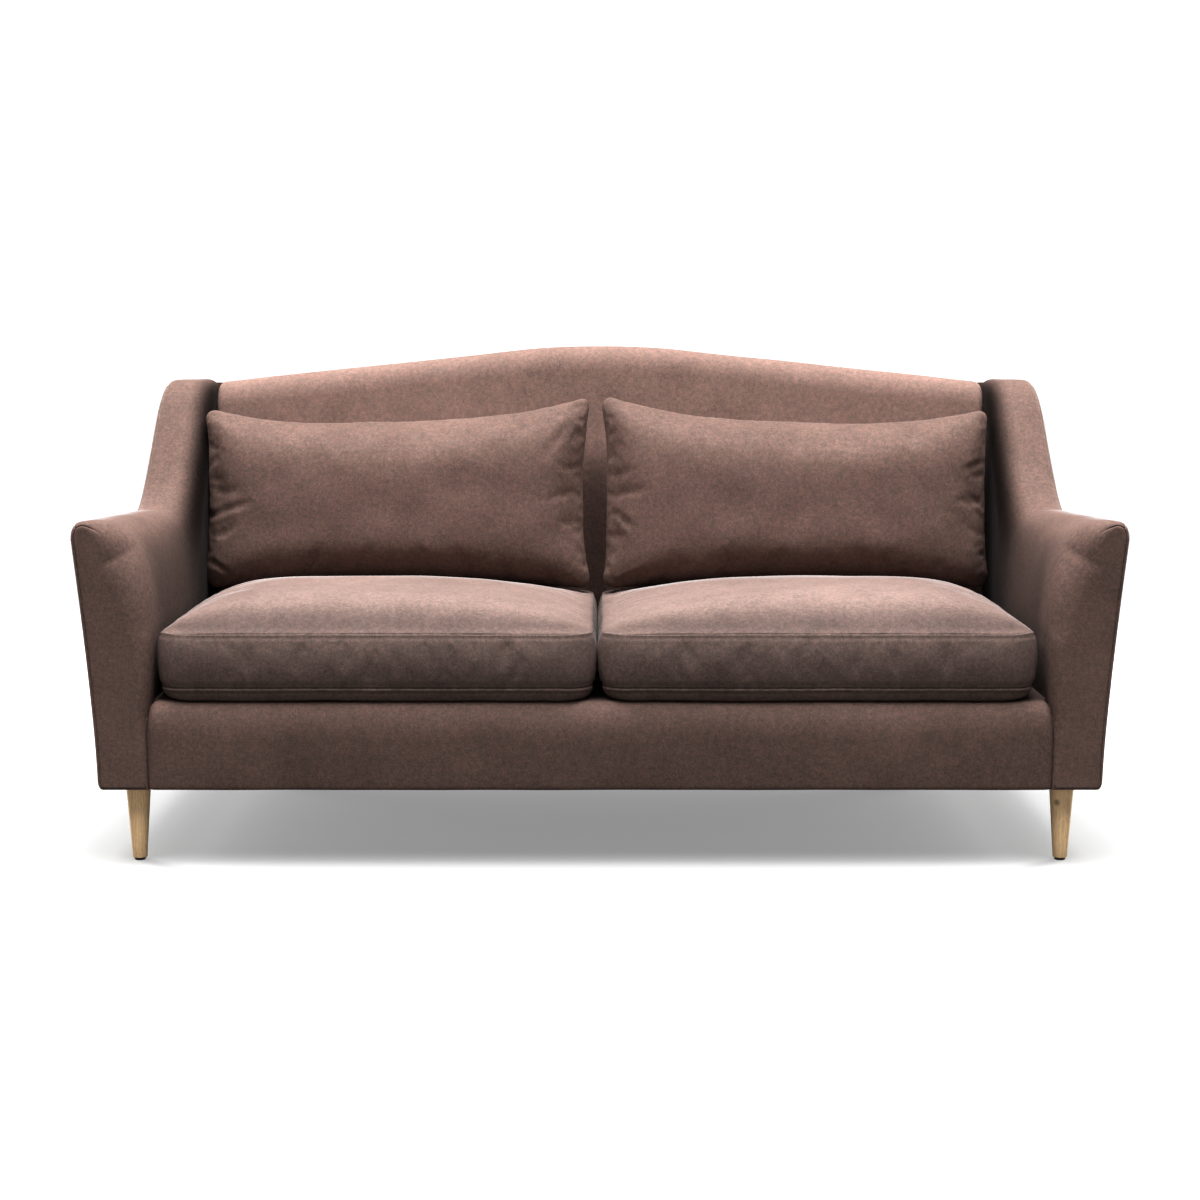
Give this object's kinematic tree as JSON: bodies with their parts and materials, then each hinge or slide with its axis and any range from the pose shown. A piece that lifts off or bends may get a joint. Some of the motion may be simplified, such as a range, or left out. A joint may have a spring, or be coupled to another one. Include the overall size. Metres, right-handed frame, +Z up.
{
  "type": "camelback sofa",
  "caption": "Camelback sofa with flared, swept arms, loose boxed seat cushions and knife-edge back pillows on tapered round oak legs, over a timber frame with sinuous springs.",
  "frame": {"origin": "on the floor under the middle of the sofa", "axes": "+X to the right of someone facing the sofa and the longest extent, -Y out of the front, +Z up"},
  "size_m": [1.9, 0.9, 0.932],
  "materials": {
    "velvet": "brushed mauve-brown velvet with a short nap",
    "deck": "plain platform cloth over felt",
    "lining": "black non-woven dust cover",
    "foam": "cut foam with wadding wrap",
    "fibre": "fibre filling in a calico bag",
    "zip": "closed coil zip and tape",
    "leg_oak": "light oak, satin lacquer",
    "frame_timber": "sawn and planed hardwood",
    "steel": "drawn spring wire and zinc-plated bolts",
    "glide": "hard nylon"
  },
  "bodies": {
    "frame": {"leg_front_left": "leg_oak", "foot_glide_front_left": "glide", "leg_bolt_front_left": "steel", "corner_block_front_left": "frame_timber", "leg_front_right": "leg_oak", "foot_glide_front_right": "glide", "leg_bolt_front_right": "steel", "corner_block_front_right": "frame_timber", "leg_rear_left": "leg_oak", "foot_glide_rear_left": "glide", "leg_bolt_rear_left": "steel", "corner_block_rear_left": "frame_timber", "leg_rear_right": "leg_oak", "foot_glide_rear_right": "glide", "leg_bolt_rear_right": "steel", "corner_block_rear_right": "frame_timber", "front_seat_rail": "frame_timber", "rear_seat_rail": "frame_timber", "rear_bottom_rail": "frame_timber", "centre_seat_rail": "frame_timber", "camel_top_rail": "frame_timber", "back_liner_rail": "frame_timber", "back_centre_upright": "frame_timber", "side_seat_rail_right": "frame_timber", "side_seat_rail_left": "frame_timber", "front_post_right": "frame_timber", "front_post_left": "frame_timber", "back_post_right": "frame_timber", "back_post_left": "frame_timber", "arm_top_rail_right": "frame_timber", "arm_top_rail_left": "frame_timber", "seat_spring_1": "steel", "seat_spring_2": "steel", "seat_spring_3": "steel", "seat_spring_4": "steel", "seat_spring_5": "steel", "seat_spring_6": "steel", "seat_spring_7": "steel", "seat_spring_8": "steel", "seat_deck": "deck", "front_border": "velvet", "arm_upholstery_right": "velvet", "arm_upholstery_left": "velvet", "outside_arm_panel_right": "velvet", "outside_arm_panel_left": "velvet", "inside_back": "velvet", "outside_back_panel": "velvet", "dust_cover": "lining"},
    "seat_cushion_left": {"seat_cushion_cover_left": "velvet", "seat_cushion_core_left": "foam", "seat_cushion_zip_left": "zip"},
    "back_pillow_left": {"back_pillow_cover_left": "velvet", "back_pillow_fill_left": "fibre", "back_pillow_zip_left": "zip"},
    "seat_cushion_right": {"seat_cushion_cover_right": "velvet", "seat_cushion_core_right": "foam", "seat_cushion_zip_right": "zip"},
    "back_pillow_right": {"back_pillow_cover_right": "velvet", "back_pillow_fill_right": "fibre", "back_pillow_zip_right": "zip"}
  },
  "joints": [
    {"name": "seat_cushion_left_pull", "type": "slide", "parent": "frame", "child": "seat_cushion_left", "axis": [0, -1, 0], "range_m": [0, 0.72]},
    {"name": "back_pillow_left_lift", "type": "slide", "parent": "frame", "child": "back_pillow_left", "axis": [0, 0.1323, 0.9912], "range_m": [0, 0.52]},
    {"name": "seat_cushion_right_pull", "type": "slide", "parent": "frame", "child": "seat_cushion_right", "axis": [0, -1, 0], "range_m": [0, 0.72]},
    {"name": "back_pillow_right_lift", "type": "slide", "parent": "frame", "child": "back_pillow_right", "axis": [0, 0.1323, 0.9912], "range_m": [0, 0.52]}
  ]
}
